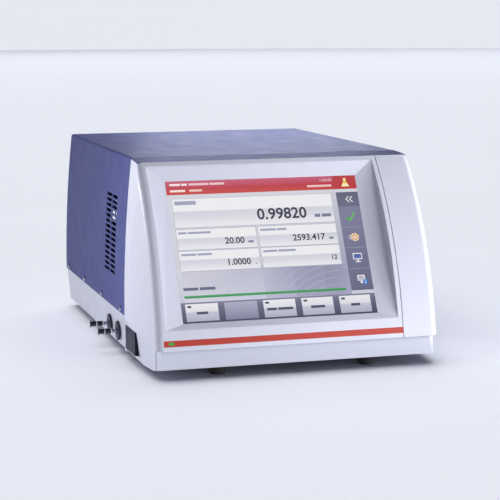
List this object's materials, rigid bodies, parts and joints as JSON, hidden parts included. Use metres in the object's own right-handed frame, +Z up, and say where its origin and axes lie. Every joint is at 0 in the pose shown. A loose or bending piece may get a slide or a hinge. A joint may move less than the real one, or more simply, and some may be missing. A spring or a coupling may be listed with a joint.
{
  "type": "benchtop density meter",
  "caption": "Benchtop density meter with an arched front bezel, tilted touch display, vented metal cover and Luer sample ports on its left side.",
  "frame": {"origin": "on the bench, below the middle of the bounding box", "axes": "+X to the right seen from the front, +Y to the rear, +Z up"},
  "size_m": [0.3538, 0.495, 0.226],
  "materials": {
    "cover_paint": "satin",
    "light_plastic": "satin",
    "stripe_red": "satin",
    "led_green": "gloss",
    "screen_glass": "gloss",
    "clear_glass": "gloss",
    "bare_metal": "satin",
    "screw_steel": "polished",
    "black_plastic": "satin",
    "nut_plastic": "satin",
    "rubber": "matte",
    "tube_plastic": "satin",
    "board_green": "satin",
    "brass": "satin",
    "video_blue": "satin"
  },
  "bodies": {
    "housing": {"base_tub": "light_plastic", "top_cover": "cover_paint", "front_bezel": "light_plastic", "top_trim": "cover_paint", "right_front_panel": "light_plastic", "rear_panel": "bare_metal", "accent_stripe": "stripe_red", "status_led": "led_green", "display_glass": "screen_glass", "display_module": "bare_metal", "display_bracket": "bare_metal", "control_board": "board_green", "cover_screws": "screw_steel", "rear_screws": "screw_steel", "foot_front_left": "rubber", "foot_front_right": "rubber", "foot_rear_left": "rubber", "foot_rear_right": "rubber", "port_bay": "black_plastic", "side_sockets": "bare_metal", "flap_hinge_pin": "screw_steel", "inlet_adapter": "black_plastic", "outlet_adapter": "black_plastic", "inlet_tube": "tube_plastic", "outlet_tube": "tube_plastic", "cell_block": "bare_metal", "cell_lid": "bare_metal", "oscillator_u_tube": "clear_glass", "heat_sink": "bare_metal", "fan_frame": "black_plastic", "fan_guard": "screw_steel", "mainboard": "board_green", "board_standoffs": "brass", "power_supply": "bare_metal", "mains_inlet": "black_plastic", "switch_housing": "black_plastic", "io_board": "board_green", "ethernet_socket": "bare_metal", "rear_usb_sockets": "bare_metal", "serial_port": "bare_metal", "video_port": "video_blue"},
    "flap": {"interface_flap": "black_plastic"},
    "inlet_nut": {"inlet_union_nut": "nut_plastic"},
    "outlet_nut": {"outlet_union_nut": "nut_plastic"},
    "impeller": {"fan_impeller": "black_plastic"},
    "rocker": {"power_rocker": "black_plastic"}
  },
  "joints": [
    {"name": "flap_hinge", "type": "hinge", "parent": "housing", "child": "flap", "pos_m": [-0.1515, -0.1195, 0.0268], "axis": [0, 0, -1], "range_deg": [0, 90]},
    {"name": "inlet_nut_turn", "type": "hinge", "parent": "housing", "child": "inlet_nut", "pos_m": [-0.15258, -0.079, 0.0258], "axis": [1, 0, 0], "continuous": true},
    {"name": "outlet_nut_turn", "type": "hinge", "parent": "housing", "child": "outlet_nut", "pos_m": [-0.15258, -0.031, 0.0258], "axis": [1, 0, 0], "continuous": true},
    {"name": "fan_spin", "type": "hinge", "parent": "housing", "child": "impeller", "pos_m": [-0.064, 0.228, 0.118], "axis": [0, 1, 0], "continuous": true},
    {"name": "power_switch", "type": "hinge", "parent": "housing", "child": "rocker", "pos_m": [0.071, 0.2355, 0.082], "axis": [1, 0, 0], "range_deg": [0, 16]}
  ]
}
